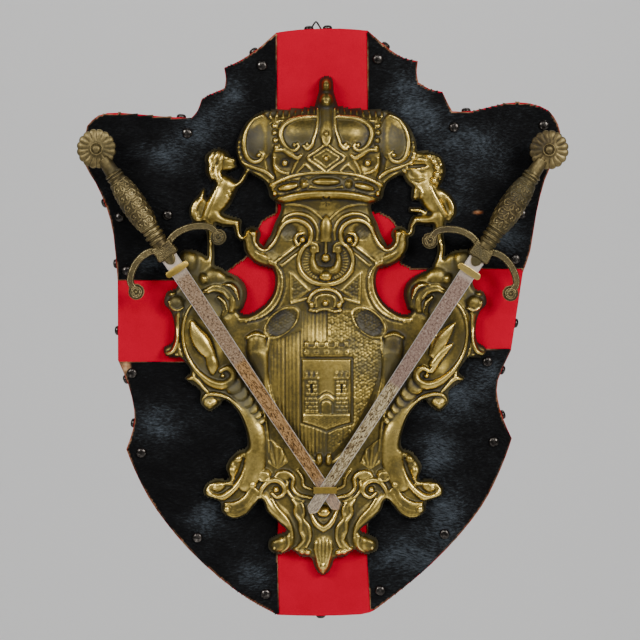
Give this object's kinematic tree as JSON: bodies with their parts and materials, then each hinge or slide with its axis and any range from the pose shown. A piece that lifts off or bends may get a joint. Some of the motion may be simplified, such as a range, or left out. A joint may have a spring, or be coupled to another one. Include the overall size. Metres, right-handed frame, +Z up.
{
  "type": "wooden heraldic shield plaque",
  "caption": "Wall-hung shield board in red felt and black hide with a stamped brass coat of arms and two crossed miniature swords.",
  "frame": {"origin": "on the wall plane where the hanger loop bears on its nail", "axes": "+Z up, -Y out of the wall towards the viewer, +X to the viewer's right"},
  "size_m": [0.4844, 0.06, 0.6011],
  "materials": {
    "beech_board": "sawn and bare at the back",
    "red_felt": "pressed wool felt",
    "black_hide": "short glossy hair",
    "antique_brass": "stamped, darkened in the recesses and rubbed bright on the heights",
    "cast_bronze": "dull cast metal with chased detail",
    "etched_steel": "etched, coppery tarnish with a bright ground edge",
    "blackened_iron": "blackened, worn on the domes"
  },
  "bodies": {
    "root": {"board": "beech_board", "red_felt": "red_felt", "hide_upper_left": "black_hide", "hide_upper_right": "black_hide", "hide_lower_left": "black_hide", "hide_lower_right": "black_hide", "coat_of_arms": "antique_brass", "hilt_left": "cast_bronze", "hilt_right": "cast_bronze", "blade_left": "etched_steel", "blade_right": "etched_steel", "collar_left": "antique_brass", "collar_right": "antique_brass", "crossing_staple": "antique_brass", "hanger_loop": "blackened_iron", "hanger_plate": "blackened_iron", "hanger_nail_1": "blackened_iron", "hanger_nail_2": "blackened_iron", "face_tack_01": "blackened_iron", "face_tack_02": "blackened_iron", "face_tack_03": "blackened_iron", "face_tack_04": "blackened_iron", "face_tack_05": "blackened_iron", "face_tack_06": "blackened_iron", "face_tack_07": "blackened_iron", "face_tack_08": "blackened_iron", "face_tack_09": "blackened_iron", "face_tack_10": "blackened_iron", "face_tack_11": "blackened_iron", "face_tack_12": "blackened_iron", "face_tack_13": "blackened_iron", "face_tack_14": "blackened_iron", "face_tack_15": "blackened_iron", "face_tack_16": "blackened_iron", "face_tack_17": "blackened_iron", "face_tack_18": "blackened_iron", "edge_tack_01": "blackened_iron", "edge_tack_02": "blackened_iron", "edge_tack_03": "blackened_iron", "edge_tack_04": "blackened_iron", "edge_tack_05": "blackened_iron", "edge_tack_06": "blackened_iron", "edge_tack_07": "blackened_iron", "edge_tack_08": "blackened_iron", "edge_tack_09": "blackened_iron", "edge_tack_10": "blackened_iron", "edge_tack_11": "blackened_iron", "edge_tack_12": "blackened_iron", "edge_tack_13": "blackened_iron", "edge_tack_14": "blackened_iron", "edge_tack_15": "blackened_iron"}
  },
  "joints": []
}
